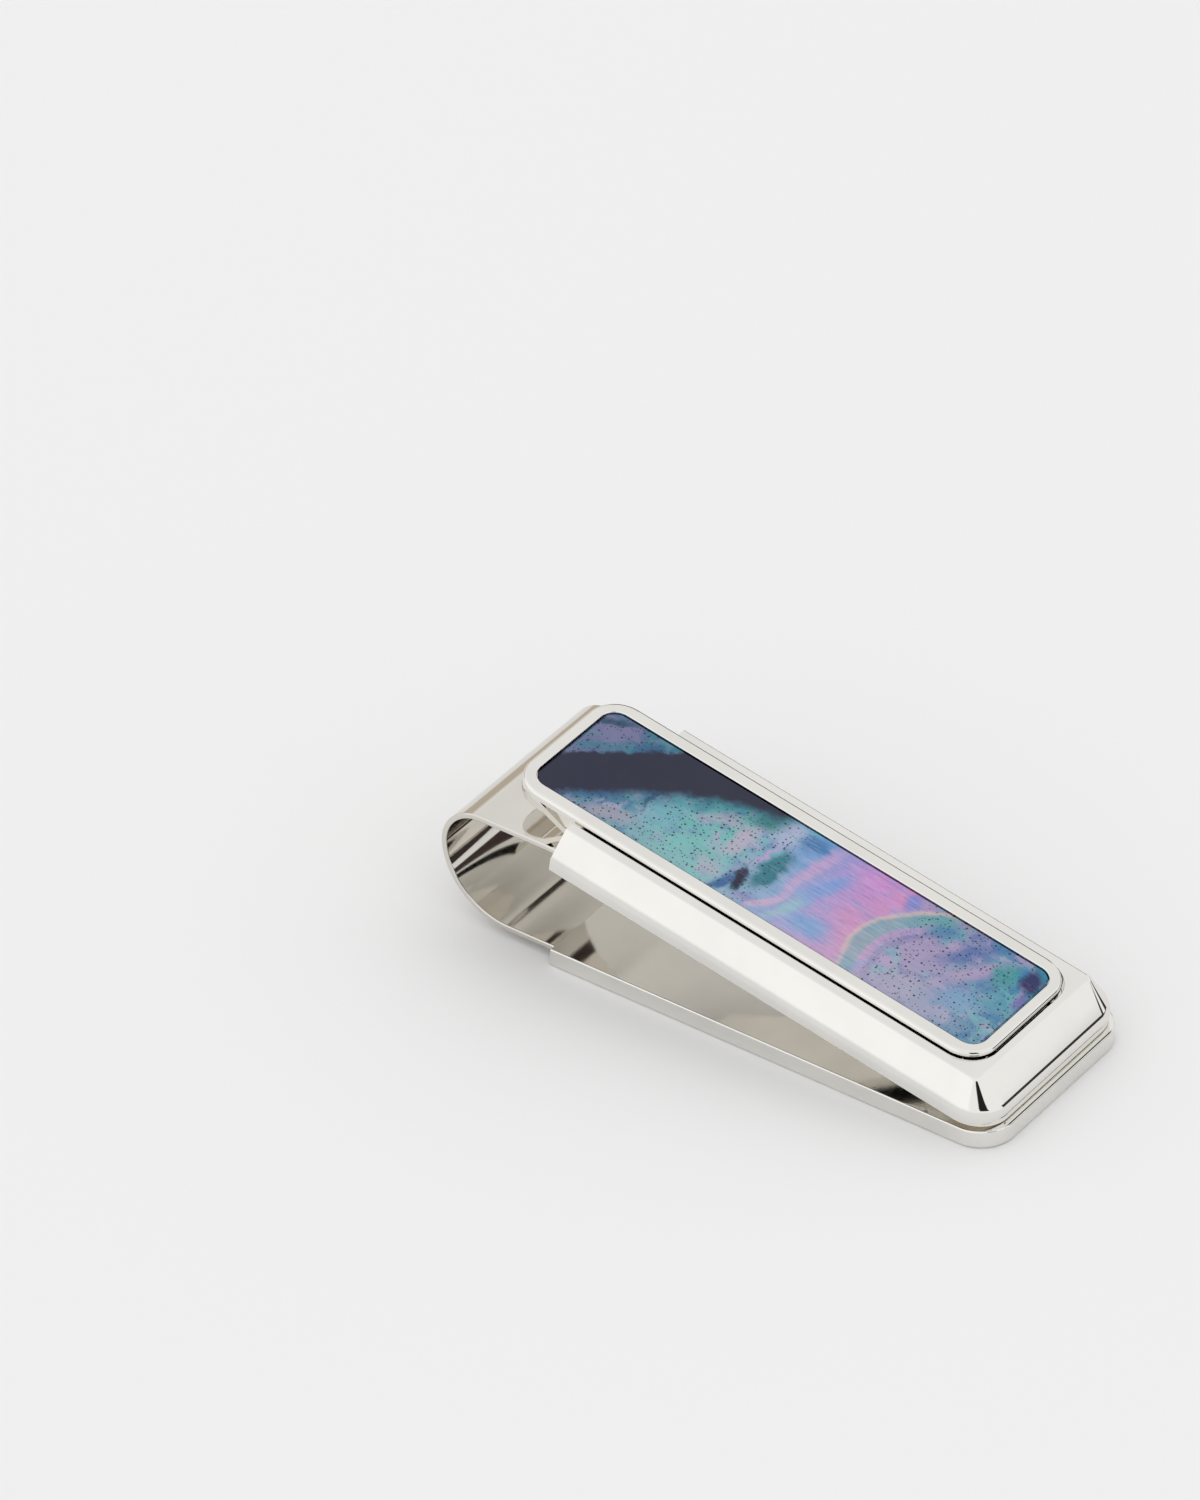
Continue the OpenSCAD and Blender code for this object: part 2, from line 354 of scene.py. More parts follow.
class Nodes:
    """Adds nodes to a node tree and joins them."""

    def __init__(self, tree):
        self.tree = tree

    def node(self, kind, settings=(), **inputs):
        made = self.tree.nodes.new(kind)
        for key, value in dict(settings).items():
            setattr(made, key, value)
        for key, value in inputs.items():
            self.put(made.inputs[key.replace("_", " ")], value)
        return made

    def put(self, socket, value):
        if hasattr(value, "is_output"):
            self.tree.links.new(value, socket)
        else:
            socket.default_value = value

    def math(self, operation, a, b=0.0):
        made = self.node("ShaderNodeMath", {"operation": operation})
        self.put(made.inputs[0], a)
        self.put(made.inputs[1], b)
        return made.outputs[0]

    def times(self, a, b):
        return self.math("MULTIPLY", a, b)

    def vectors(self, operation, a, b):
        made = self.node("ShaderNodeVectorMath", {"operation": operation})
        self.put(made.inputs[0], a)
        self.put(made.inputs["Scale" if operation == "SCALE" else 1], b)
        return made.outputs["Value" if operation == "DISTANCE" else 0]

    def mix(self, factor, a, b):
        made = self.node("ShaderNodeMix", {"data_type": "RGBA"})
        self.put(made.inputs[0], factor)
        self.put(made.inputs[6], a)
        self.put(made.inputs[7], b)
        return made.outputs[2]

    def spread(self, value, low, high, to_low=0.0, to_high=1.0):
        """Maps low..high smoothly to to_low..to_high, and holds the ends."""
        made = self.node("ShaderNodeMapRange", {"interpolation_type": "SMOOTHSTEP"})
        for socket, number in zip(made.inputs, (value, low, high, to_low, to_high)):
            self.put(socket, number)
        return made.outputs[0]

    def spread_line(self, value, low, high):
        """Maps low..high evenly to 0..1, and holds the ends."""
        made = self.node("ShaderNodeMapRange")
        for socket, number in zip(made.inputs, (value, low, high, 0, 1)):
            self.put(socket, number)
        return made.outputs[0]

    def within(self, value, low, high, soft):
        """1 from low to high, and falling to 0 over soft on either side."""
        return self.times(self.spread(value, low - soft, low), self.spread(value, high + soft, high))

    def noise(self, vector, scale, detail=2.0, rough=0.5):
        made = self.node("ShaderNodeTexNoise", Vector=vector, Scale=scale, Detail=detail, Roughness=rough)
        return made.outputs[0]

    def shaken(self, vector, scale, amount):
        """The vector moved about by soft noise."""
        field = self.node("ShaderNodeTexNoise", Vector=vector, Scale=scale, Detail=2.0).outputs[1]
        centred = self.vectors("SUBTRACT", field, (0.5, 0.5, 0.5))
        return self.vectors("ADD", vector, self.vectors("SCALE", centred, amount))

    def place(self):
        return self.node("ShaderNodeTexCoord").outputs["Object"]

    def mapped(self, vector, scale=(1, 1, 1), turn=(0, 0, 0), move=(0, 0, 0)):
        made = self.node("ShaderNodeMapping", Vector=vector, Scale=scale, Rotation=turn, Location=move)
        return made.outputs[0]

    def bump(self, height, distance, strength=1.0):
        return self.node("ShaderNodeBump", Strength=strength, Distance=distance, Height=height).outputs[0]


class Shader(Nodes):
    """A material with one Principled shader."""

    def __init__(self, name):
        self.material = bpy.data.materials.new(name)
        self.material.use_nodes = True
        super().__init__(self.material.node_tree)
        self.surface = self.tree.nodes["Principled BSDF"]

    def set(self, **inputs):
        for key, value in inputs.items():
            self.put(self.surface.inputs[key.replace("_", " ")], value)


def grey(v):
    return (v, v, v, 1)


def polished_metal(name, colour, rough, streaks_along=(1, 14, 14)):
    """Mirror-polished plate: faint polishing lines, a slow waviness and a little uneven haze."""
    s = Shader(name)
    at = s.place()
    lines = s.noise(s.mapped(at, scale=streaks_along), 900, detail=3)
    haze = s.noise(at, 160, detail=3)
    wave = s.noise(at, 55, detail=1)
    tint = s.mix(s.spread(haze, 0.35, 0.75), (*colour, 1), (*(c * 0.955 for c in colour), 1))
    s.set(Base_Color=tint, Metallic=1.0)
    s.set(Roughness=s.spread(haze, 0.3, 0.8, rough, rough + 0.035))
    height = s.math("ADD", s.times(lines, 0.04), wave)
    s.set(Normal=s.bump(height, 0.000012, 0.5))
    return s.material


def satin_metal(name, colour):
    """Brushed wire or strip, for the rivets, pins and leaf springs."""
    s = Shader(name)
    at = s.place()
    lines = s.noise(s.mapped(at, scale=(1, 25, 25)), 700, detail=4)
    s.set(Base_Color=s.mix(lines, (*colour, 1), (*(c * 0.8 for c in colour), 1)), Metallic=1.0)
    s.set(Roughness=s.spread(lines, 0.2, 0.8, 0.22, 0.4))
    s.set(Normal=s.bump(lines, 0.000004, 0.6))
    return s.material


NICKEL = polished_metal("polished_nickel", (0.82, 0.805, 0.77), 0.03)
LEVER_NICKEL = polished_metal("polished_nickel_lever", (0.81, 0.79, 0.755), 0.035)
SPRING = polished_metal("polished_spring_band", (0.71, 0.685, 0.635), 0.05, streaks_along=(14, 1, 14))
RIVET = satin_metal("rivet_steel", (0.74, 0.73, 0.71))
LEAF = satin_metal("leaf_steel", (0.60, 0.60, 0.60))


def adhesive():
    """Hardened brown adhesive with small lumps."""
    s = Shader("brown_adhesive")
    lumps = s.noise(s.place(), 1400, detail=3)
    s.set(Base_Color=s.mix(lumps, (0.09, 0.055, 0.03, 1), (0.22, 0.13, 0.06, 1)))
    s.set(Roughness=s.spread(lumps, 0.2, 0.8, 0.35, 0.6))
    s.set(Normal=s.bump(lumps, 0.00003, 0.7))
    return s.material


# what the pearl's polished surface reflects, how strongly its own colour is lit, and the least colour
REFLECTED = 0.055
LIT = 1.04
DARKEST = 0.003


def seen(red, green, blue):
    """The base colour that shows as this 0 to 255 screen colour once the surface's reflection is added."""
    linear = [(v / 255) ** 2.2 for v in (red, green, blue)]
    return (*(max((v - REFLECTED) / LIT, DARKEST) for v in linear), 1)


# the pearl's colours along its length, as (mm from the frame's rear end, screen colour)
PEARL_ALONG = [
    (-6.3, (148, 138, 174)), (-1.5, (84, 112, 148)), (3.5, (84, 140, 158)), (8.0, (92, 176, 172)),
    (12.5, (104, 184, 178)), (15.3, (128, 168, 190)), (19.2, (118, 162, 204)), (22.5, (170, 152, 208)),
    (26, (194, 144, 200)), (28.6, (210, 146, 190)), (30.6, (172, 150, 192)), (35, (152, 144, 178)),
    (39, (110, 136, 174)), (44.7, (74, 140, 164)),
]

# soft patches: middle x and y in mm, half length, half width, turn in degrees, screen colour, strength, edge
PEARL_PATCHES = [
    (-4.2, 4.2, 2.2, 1.5, 35, (186, 154, 198), 0.8, 1.5),
    (-5.2, 1.2, 1.9, 0.5, 42, (58, 148, 162), 0.85, 1.4),
    (-5.0, 5.2, 1.9, 0.6, 26, (36, 42, 62), 0.95, 1.3),
    (0.3, 5.9, 2.0, 0.35, 28, (150, 178, 190), 0.6, 1.6),
    (-1.2, -4.6, 1.4, 1.2, 30, (76, 132, 160), 0.7, 1.6),
    (2.2, -5.0, 3.0, 1.0, 22, (150, 144, 158), 0.85, 1.5),
    (3.7, -1.0, 0.35, 1.7, 14, (46, 62, 92), 0.8, 1.5),
    (5.6, -2.0, 1.6, 3.2, -24, (96, 176, 186), 0.6, 1.6),
    (10.2, -3.6, 3.4, 1.6, 14, (98, 186, 176), 0.7, 1.5),
    (7.6, 2.0, 1.2, 1.1, 0, (66, 142, 148), 0.7, 1.6),
    (10.4, 1.6, 2.6, 0.8, 28, (168, 164, 182), 0.7, 1.6),
    (13.0, 0.4, 0.9, 2.6, -8, (186, 170, 192), 0.85, 1.4),
    (12.6, -4.4, 1.4, 0.7, 0, (178, 166, 186), 0.6, 1.5),
    (13.4, 4.6, 1.5, 1.5, 0, (76, 142, 128), 0.85, 1.4),
    (16.2, 4.2, 1.7, 2.2, 12, (176, 184, 210), 0.8, 1.4),
    (18.6, 5.0, 1.6, 1.0, 20, (58, 118, 168), 0.75, 1.5),
    (14.9, -4.8, 0.8, 2.2, -14, (60, 96, 150), 0.85, 1.5),
    (17.4, -0.7, 1.25, 3.4, -9, (58, 126, 138), 1.0, 1.18),
    (15.9, -3.4, 0.55, 1.7, 22, (40, 44, 84), 1.0, 1.35),
    (16.1, 0.7, 0.22, 2.0, -6, (196, 152, 206), 0.8, 1.6),
    (17.6, -5.2, 1.2, 0.9, 0, (128, 128, 178), 0.8, 1.4),
    (20.1, 1.4, 0.75, 5.6, -7, (204, 164, 206), 0.75, 1.6),
    (19.3, -4.4, 0.5, 2.6, -24, (214, 166, 200), 0.7, 1.4),
    (21.3, -3.6, 0.7, 3.0, -14, (134, 198, 196), 0.7, 1.5),
    (22.6, 1.2, 1.0, 3.0, -14, (110, 156, 214), 0.85, 1.5),
    (23.9, -4.4, 2.4, 1.6, 12, (96, 158, 212), 0.9, 1.5),
    (25.6, 4.6, 3.0, 1.0, -14, (204, 148, 204), 0.7, 1.5),
    (27.0, -1.4, 1.7, 3.0, 12, (214, 142, 186), 0.7, 1.5),
    (29.6, 5.4, 0.9, 1.3, 8, (112, 140, 206), 0.75, 1.6),
    (33.6, 4.4, 1.6, 1.6, 30, (78, 134, 168), 0.85, 1.5),
    (34.6, 0.4, 1.8, 2.4, -30, (166, 148, 186), 0.7, 1.5),
    (34.8, -4.4, 3.0, 1.4, 18, (164, 160, 184), 0.8, 1.5),
    (37.2, 3.2, 0.8, 3.6, -38, (92, 116, 166), 0.75, 1.5),
    (38.7, 1.6, 0.8, 4.0, -36, (180, 156, 190), 0.75, 1.6),
    (40.3, -2.4, 2.6, 1.7, 36, (104, 156, 192), 0.8, 1.5),
    (41.3, 2.9, 1.5, 1.9, 10, (38, 146, 152), 0.95, 1.4),
    (42.6, -0.2, 1.7, 1.2, 30, (70, 150, 166), 0.8, 1.5),
    (38.4, -5.3, 2.6, 0.9, 8, (158, 156, 184), 0.7, 1.5),
    (43.7, 4.3, 1.2, 1.9, 14, (56, 54, 104), 0.95, 1.3),
    (44.4, 1.5, 0.7, 1.2, 0, (120, 110, 172), 0.8, 1.4),
]

# rings of the arc: inner and outer radius in mm, screen colour, strength
ARC_MIDDLE = (37.6, -2.2)
ARC_RINGS = [
    (8.2, 9.3, (104, 166, 166), 0.75), (9.6, 9.68, (212, 196, 172), 0.55), (6.5, 6.9, (128, 122, 170), 0.5),
]

# drifting clouds: scale, where the noise starts and ends to show, in the pink middle or not, colour, strength
PEARL_CLOUDS = [
    (0.42, 0.5, 0.66, False, (88, 190, 182), 0.55), (0.55, 0.52, 0.66, False, (182, 160, 196), 0.55),
    (0.63, 0.5, 0.66, False, (70, 108, 168), 0.45), (0.38, 0.5, 0.64, True, (128, 160, 216), 0.5),
]

# specks: cells per mm, least and most radius as a share of a cell, share of cells left empty, start in mm
PEARL_SPECKS = [(1.5, 0.09, 0.17, 0.5, 0), (2.6, 0.09, 0.18, 0.62, 40)]


def pearl_ramp(s, x):
    """The colours along the pearl's length."""
    (first, first_colour), *between, (last, last_colour) = PEARL_ALONG
    ramp = s.node("ShaderNodeValToRGB", Fac=s.spread_line(x, first, last))
    stops = ramp.color_ramp.elements
    stops[0].color, stops[1].color = seen(*first_colour), seen(*last_colour)
    for place, colour in between:
        stops.new((place - first) / (last - first)).color = seen(*colour)
    return ramp.outputs[0]


def pearl_clouds(s, colour, warped, middle):
    """Drifting clouds, in the teal ends and in the pink middle."""
    ends = s.math("SUBTRACT", 1.0, middle)
    for scale, low, high, in_middle, tint, strength in PEARL_CLOUDS:
        cloud = s.spread(s.noise(s.mapped(warped, move=(scale * 90, 0, 0)), scale, detail=3), low, high)
        area = s.times(cloud, middle if in_middle else ends)
        colour = s.mix(s.times(area, strength), colour, seen(*tint))
    return colour


def pearl_patches(s, colour, warped):
    """Soft turned ellipses of colour, whose edge number is the reach at which they fade out."""
    for x, y, length, width, turn, tint, strength, edge in PEARL_PATCHES:
        local = s.node("ShaderNodeMapping", {"vector_type": "TEXTURE"}, Vector=warped, Location=(x, y, 0),
                       Rotation=(0, 0, math.radians(turn)), Scale=(length, width, 1e6)).outputs[0]
        reach = s.node("ShaderNodeVectorMath", {"operation": "LENGTH"}, Vector=local).outputs["Value"]
        colour = s.mix(s.spread(reach, edge, 1.4 - 0.7 * edge, 0, strength), colour, seen(*tint))
    return colour


def pearl_arc(s, colour, at, x):
    """Rings round ARC_MIDDLE that show on the side of the thumb end."""
    flat = s.mapped(s.shaken(at, 0.3, 1.3), scale=(1, 1, 0))
    away = s.vectors("DISTANCE", flat, (*ARC_MIDDLE, 0))
    rear_side = s.spread(x, 35.5, 33)
    for inner, outer, tint, strength in ARC_RINGS:
        ring = s.times(s.within(away, inner, outer, 0.4), rear_side)
        colour = s.mix(s.times(ring, strength), colour, seen(*tint))
    return colour


def pearl_painted_sheen(s, colour, y):
    """A painted sheen: the colour grows lighter and paler towards the near side, and the dark shapes are left
    alone.
    """
    lightness = s.node("ShaderNodeRGBToBW", Color=colour).outputs[0]
    painted_sheen = s.times(s.spread_line(y, 6.4, -6.4), s.spread(lightness, 0.08, 0.24))
    return s.mix(s.times(painted_sheen, 0.36), colour, seen(188, 192, 206))


def pearl_streaks(s, colour, at, middle):
    """Fine streaks across the growth, clearest in the pink middle."""
    streaks = s.mapped(at, scale=(0.55, 4.2, 1), turn=(0, 0, math.radians(-34)))
    fine = s.noise(streaks, 1.0, detail=3, rough=0.6)
    amount = s.spread(middle, 0, 1, 0.08, 0.22)
    colour = s.mix(s.times(s.spread(fine, 0.5, 0.72), amount), colour, seen(228, 200, 232))
    return s.mix(s.times(s.spread(fine, 0.5, 0.3), amount), colour, seen(96, 104, 176))


def pearl_band(s, colour, at):
    """The navy band from the rear near corner to the far side, with a blue rim. Returns where it is, too."""
    x, y, _ = s.node("ShaderNodeSeparateXYZ", Vector=s.shaken(s.shaken(at, 0.35, 1.2), 1.3, 0.9)).outputs
    above = s.math("SUBTRACT", s.math("ADD", s.times(x, 0.94), 4.6), y)
    curve = s.times(s.times(x, x), -0.028)
    below = s.math("SUBTRACT", y, s.math("ADD", s.math("ADD", s.times(x, 0.98), curve), -3.1))
    navy = s.times(s.times(s.spread(above, -0.1, 0.6), s.spread(below, -0.6, 1.2)), s.spread(x, 16, 13.5))
    rim = s.times(s.spread(below, -2.6, 0.2), s.spread(x, 16.5, 13))
    colour = s.mix(s.times(rim, 0.6), colour, seen(60, 104, 132))
    return s.mix(s.times(navy, 0.98), colour, seen(55, 61, 82)), navy


def pearl_specks(s, at, middle, navy):
    """Where specks are: none in the navy band, and few in the pink middle."""
    dots = 0
    for cell, least, most, rarity, start in PEARL_SPECKS:
        cells = s.node("ShaderNodeTexVoronoi", {"voronoi_dimensions": "2D"},
                       Vector=s.mapped(at, move=(start, 0, 0)), Scale=cell)
        chance = s.node("ShaderNodeSeparateColor", Color=cells.outputs["Color"]).outputs
        size = s.spread(chance[1], 0, 1, least, most)
        dot = s.spread(s.math("SUBTRACT", cells.outputs["Distance"], size), 0.05, -0.03)
        dots = s.math("MAXIMUM", s.times(dot, s.math("GREATER_THAN", chance[0], rarity)), dots)
    dots = s.times(dots, s.math("SUBTRACT", 1.0, s.times(middle, 0.9)))
    return s.times(dots, s.math("SUBTRACT", 1.0, navy))


def pearl_finish():
    """Dark mother-of-pearl: warped patches of colour, a navy band at one end, an arc, streaks and specks,
    with a painted sheen towards the near side.
    """
    s = Shader("dark_mother_of_pearl")
    at = s.mapped(s.place(), scale=(1000, 1000, 1000))
    warped = s.shaken(s.shaken(at, 0.2, 2.2), 0.75, 1.3)
    x, y, _ = s.node("ShaderNodeSeparateXYZ", Vector=warped).outputs
    middle = s.within(x, 19, 30, 2)

    colour = pearl_ramp(s, x)
    colour = pearl_clouds(s, colour, warped, middle)
    colour = pearl_patches(s, colour, warped)
    colour = pearl_arc(s, colour, at, x)
    # painted sheen: the colour is lightened towards the near side
    colour = pearl_painted_sheen(s, colour, y)
    colour = pearl_streaks(s, colour, at, middle)
    colour, navy = pearl_band(s, colour, at)
    dots = pearl_specks(s, at, middle, navy)
    colour = s.mix(s.times(dots, 0.88), colour, seen(30, 40, 60))

    s.set(Base_Color=colour, Roughness=0.07, IOR=1.45)
    s.set(Normal=s.bump(dots, -0.000006, 0.3))
    return s.material


PEARL = pearl_finish()


# ------------------------------ the lower jaw


def lower_frame():
    channel_front = SLOT_FRONT + 0.3
    rings = [
        open_outline(HALF_W, JAW_LEN, CORNER_R, LOWER_H),
        open_outline(HALF_W, JAW_LEN, CORNER_R, 0),
        open_outline(SLOT_HALF, SLOT_FRONT, LOWER_SLOT_R, 0),
        open_outline(SLOT_HALF, SLOT_FRONT, LOWER_SLOT_R, LOWER_LIP_Z),
        open_outline(CHANNEL_HALF, channel_front, LOWER_SLOT_R, LOWER_LIP_Z),
        open_outline(CHANNEL_HALF, channel_front, LOWER_SLOT_R, BAND_Z),
        open_outline(POCKET_HALF, POCKET_FRONT, POCKET_R, BAND_Z),
        open_outline(POCKET_HALF, POCKET_FRONT, POCKET_R, BAND_Z + BAND_T + FIT_GAP),
    ]
    return skin(rings, [0.15, 0.3, 0.06, 0, 0, 0, 0, 0], ring_loop=False, station_loop=False, end_radius=0.05)


make("lower_frame_body", lower_frame(), LOWER_PLACE, NICKEL, "lower_jaw", "lower_frame",
     cutters=rivet_holes(1.7))


def lower_slide():
    rear, front = lower_slide_lo[0], lower_slide_hi[0] - SLIDE_GAP
    bottom, top = lower_slide_lo[2], lower_slide_hi[2]

    def ring(head_half, body_half, inset, front_x, z):
        """An outline that is narrower or wider behind the frame than inside it."""
        r = LOWER_HEAD_R - inset
        front_r = LOWER_FRONT_R
        points = arc(rear + inset + r, r - head_half, r, 180, 270)
        points += [(LOWER_HEAD_END, -head_half), (LOWER_HEAD_END, -body_half)]
        points += arc(front_x - front_r, front_r - body_half, front_r, -90, 0)
        points += arc(front_x - front_r, body_half - front_r, front_r, 0, 90)
        points += [(LOWER_HEAD_END, body_half), (LOWER_HEAD_END, head_half)]
        points += arc(rear + inset + r, head_half - r, r, 90, 180)
        return [(x, y, z) for x, y in points]

    rings = [
        ring(RAIL_HALF - LOWER_HEAD_BEVEL, RAIL_HALF, LOWER_HEAD_BEVEL, front + SLIDE_GAP, top),
        ring(RAIL_HALF, RAIL_HALF, 0, front + SLIDE_GAP, LOWER_FLANGE_Z),
        ring(RAIL_HALF, SLIDE_HALF, 0, front, LOWER_FLANGE_Z),
        ring(RAIL_HALF, SLIDE_HALF, 0, front, bottom),
    ]
    return skin(rings, [0.15, 0, 0, 0.12], ring_loop=False, station_loop=True)


make("lower_slide_body", lower_slide(), LOWER_PLACE, LEVER_NICKEL, "lower_lever",
     "lower_slide", cutters=slide_pockets((0.675, 2), (0.4, 2)))


# ------------------------------ the spring band


def band_path():
    """The band's outer and inner face seen from the side, as points from inside the lower frame to inside the
    upper one."""
    turn = Matrix.Rotation(JAW_ANGLE, 3, "Y")
    origin = UPPER_PLACE.translation / MM

    def on_upper(x, z):
        p = turn @ Vector((x, 0, z)) + origin
        return p.x, p.z

    exit_x, exit_z = on_upper(0, FLOOR_H)
    level_x = exit_x - EXIT_R * math.sin(JAW_ANGLE)
    level_z = exit_z + EXIT_R * (1 - math.cos(JAW_ANGLE))
    bend_z = level_z - BEND_TOP_R
    low_r = bend_z - BAND_Z
    rear = lower_lo[0] + band_lo[0]
    faces = []
    for depth in (0, BAND_T):
        line = [(lower_lo[0] + x, BAND_Z + depth) for x in reversed(ARM_XS)]
        line += arc(rear + low_r, bend_z, low_r - depth, 270, 180, BEND_STEPS)
        line += arc(rear + BEND_TOP_R, bend_z, BEND_TOP_R - depth, 180, 90, BEND_STEPS)[1:]
        line += arc(level_x, level_z - EXIT_R, EXIT_R - depth, 90, 90 - math.degrees(JAW_ANGLE), EXIT_STEPS)
        line += [on_upper(x, FLOOR_H - depth) for x in ARM_XS]
        faces.append(line)
    return faces


def band(first, last):
    """A stretch of the band between two points of its path, with rounded edges."""
    outer, inner = (face[first:last] for face in band_path())
    half = band_hi[1]
    rings = [
        [(x, -half, z) for x, z in outer],
        [(x, half, z) for x, z in outer],
        [(x, half, z) for x, z in inner],
        [(x, -half, z) for x, z in inner],
    ]
    return skin(rings, [0.16] * 4, ring_loop=True, station_loop=False)


ARM = len(ARM_XS)
LAST = len(band_path()[0])
make("band_lower_arm", band(0, ARM), LEVEL, SPRING, "lower_jaw", "spring_band")
make("band_upper_arm", band(LAST - ARM, LAST), LEVEL, SPRING, "upper_jaw", "spring_band")
bend = make("band_bend", band(ARM - 1, LAST - ARM + 1), LEVEL, SPRING, None, "spring_band")
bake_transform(bend)


# ------------------------------ the upper jaw


def upper_frame():
    slot_r = BEZEL_R + 0.1
    channel_front = SLOT_FRONT + 0.5
    under_front = SLOT_FRONT - 0.5
    arm_z = FLOOR_H - BAND_T - FIT_GAP
    rings = [
        open_outline(HALF_W, JAW_LEN, CORNER_R, 0),
        open_outline(HALF_W, JAW_LEN, CORNER_R, WALL_H),
        open_outline(HALF_W - SIDE_BEVEL, JAW_LEN - FRONT_BEVEL, BEVEL_R, UPPER_H),
        open_outline(SLOT_HALF, SLOT_FRONT, slot_r, UPPER_H),
        open_outline(SLOT_HALF, SLOT_FRONT, slot_r, LIP_Z),
        open_outline(CHANNEL_HALF, channel_front, BEZEL_R, LIP_Z),
        open_outline(CHANNEL_HALF, channel_front, BEZEL_R, FLOOR_H),
        open_outline(POCKET_HALF, POCKET_FRONT, POCKET_R, FLOOR_H),
        open_outline(POCKET_HALF, POCKET_FRONT, POCKET_R, arm_z),
        open_outline(UNDER_HALF, under_front, UNDER_R, arm_z),
        open_outline(UNDER_HALF, under_front, UNDER_R, 0),
    ]
    radii = [0.1, 0.62, 0.24, 0.08, 0, 0, 0, 0, 0, 0, 0.06]
    return skin(rings, radii, ring_loop=True, station_loop=False, end_radius=0.06)


make("upper_frame_body", upper_frame(), UPPER_PLACE, NICKEL, "upper_jaw", "upper_frame",
     cutters=rivet_holes(2.3))


def inlay_pocket(side_xs, z):
    """The pocket's outline, with a point opposite each of the bezel's own along its sides."""
    half, rear, front = inlay_hi[1] + INLAY_GAP, inlay_lo[0] - INLAY_GAP, inlay_hi[0] + INLAY_GAP
    points = closed_outline(half, rear, front, INLAY_R + INLAY_GAP, z)
    middle = len(points) // 2
    corner = ARC_STEPS + 1
    near = [(x, -half, z) for x in side_xs]
    far = [(x, half, z) for x in reversed(side_xs)]
    return points[:corner] + near + points[corner:middle + corner] + far + points[middle + corner:]


def upper_slide():
    rear, front = slide_lo[0], SLOT_FRONT - SLIDE_GAP
    top = slide_hi[2]
    side_xs = [NOTCH_X - 1e-7, NOTCH_X, STEP_X, RAIL_REAR, -0.1, 0.4, 1.1, RAIL_CORNER_X]

    def bezel_half(x):
        return SLIDE_HALF

    def web_half(x):
        return WEB_HALF if x >= NOTCH_X else SLIDE_HALF

    def rail_half(x):
        """Half of the rail's width where its rear corner is rounded."""
        round_part = math.sqrt(max(RAIL_R**2 - max(RAIL_CORNER_X - x, 0) ** 2, 0))
        return max(SLIDE_HALF, RAIL_HALF - RAIL_R + round_part)

    def under(x):
        """Height of the underside: it steps up behind the rail."""
        return float(np.interp(x, [rear, STEP_X, RAIL_REAR], [HEAD_Z, STEP_Z, RAIL_Z]))

    def slant(x):
        """Height of the rail's top, and of its slanted end up to the notch's tip."""
        return float(np.interp(x, [NOTCH_X, RAIL_REAR], [BEZEL_Z, RAIL_TOP]))

    def ring(width, front_x, r, height):
        """width is half the width and height the height, both as functions of x."""
        front_half = width(front_x)
        points = arc(rear + BEZEL_R, BEZEL_R - SLIDE_HALF, BEZEL_R, 180, 270)
        points += [(x, -width(x)) for x in side_xs]
        points += arc(front_x - r, r - front_half, r, -90, 0)
        points += arc(front_x - r, front_half - r, r, 0, 90)
        points += [(x, width(x)) for x in reversed(side_xs)]
        points += arc(rear + BEZEL_R, SLIDE_HALF - BEZEL_R, BEZEL_R, 90, 180)
        return [(x, y, height(x)) for x, y in points]

    rings = [
        inlay_pocket(side_xs, inlay_lo[2] - BED_T),
        inlay_pocket(side_xs, top),
        ring(bezel_half, front, BEZEL_R, lambda x: top),
        ring(bezel_half, front, BEZEL_R, lambda x: BEZEL_Z),
        ring(web_half, front - WEB_INSET, WEB_R, lambda x: BEZEL_Z),
        ring(web_half, front - WEB_INSET, WEB_R, slant),
        ring(rail_half, front + RAIL_REACH, RAIL_R, slant),
        ring(rail_half, front + RAIL_REACH, RAIL_R, under),
    ]
    return skin(rings, [0, 0.12, 0.42, 0, 0, 0, 0, 0.1], ring_loop=False, station_loop=True)


make("upper_slide_body", upper_slide(), UPPER_PLACE, LEVER_NICKEL, "upper_lever",
     "upper_slide", cutters=slide_pockets((1, 2.3), (1, RAIL_Z + 0.75)))


def pearl():
    half, rear, front = inlay_hi[1], inlay_lo[0], inlay_hi[0]
    rings = [closed_outline(half, rear, front, INLAY_R, z) for z in (inlay_lo[2], inlay_hi[2])]
    return skin(rings, [0, 0.12], ring_loop=False, station_loop=True)


make("pearl_plate", pearl(), UPPER_PLACE, PEARL, "upper_lever", "pearl_inlay")


# ------------------------------ finishes of the CAD nodes that stay


def paint(node, material):
    data = frame["nodes"][node].data
    data.materials.clear()
    data.materials.append(material)


for node in ("lower_rivets", "upper_rivets", "lower_stop_pins", "upper_stop_pins"):
    paint(node, RIVET)
for node in ("lower_slide_spring", "upper_slide_spring"):
    paint(node, LEAF)
paint("inlay_bed", adhesive())


# ------------------------------ floor, light and camera


def floor():
    s = Shader("pale_floor")
    blotches = s.noise(s.place(), 3, detail=2)
    s.set(Base_Color=s.mix(blotches, grey(0.83), grey(0.845)), Roughness=0.9)
    bm = bmesh.new()
    bmesh.ops.create_grid(bm, x_segments=1, y_segments=1, size=3)
    mesh = bpy.data.meshes.new("floor")
    bm.to_mesh(mesh)
    bm.free()
    obj = bpy.data.objects.new("floor", mesh)
    obj.location.z = -0.01 * MM
    bpy.context.scene.collection.objects.link(obj)
    obj.data.materials.append(s.material)


floor()


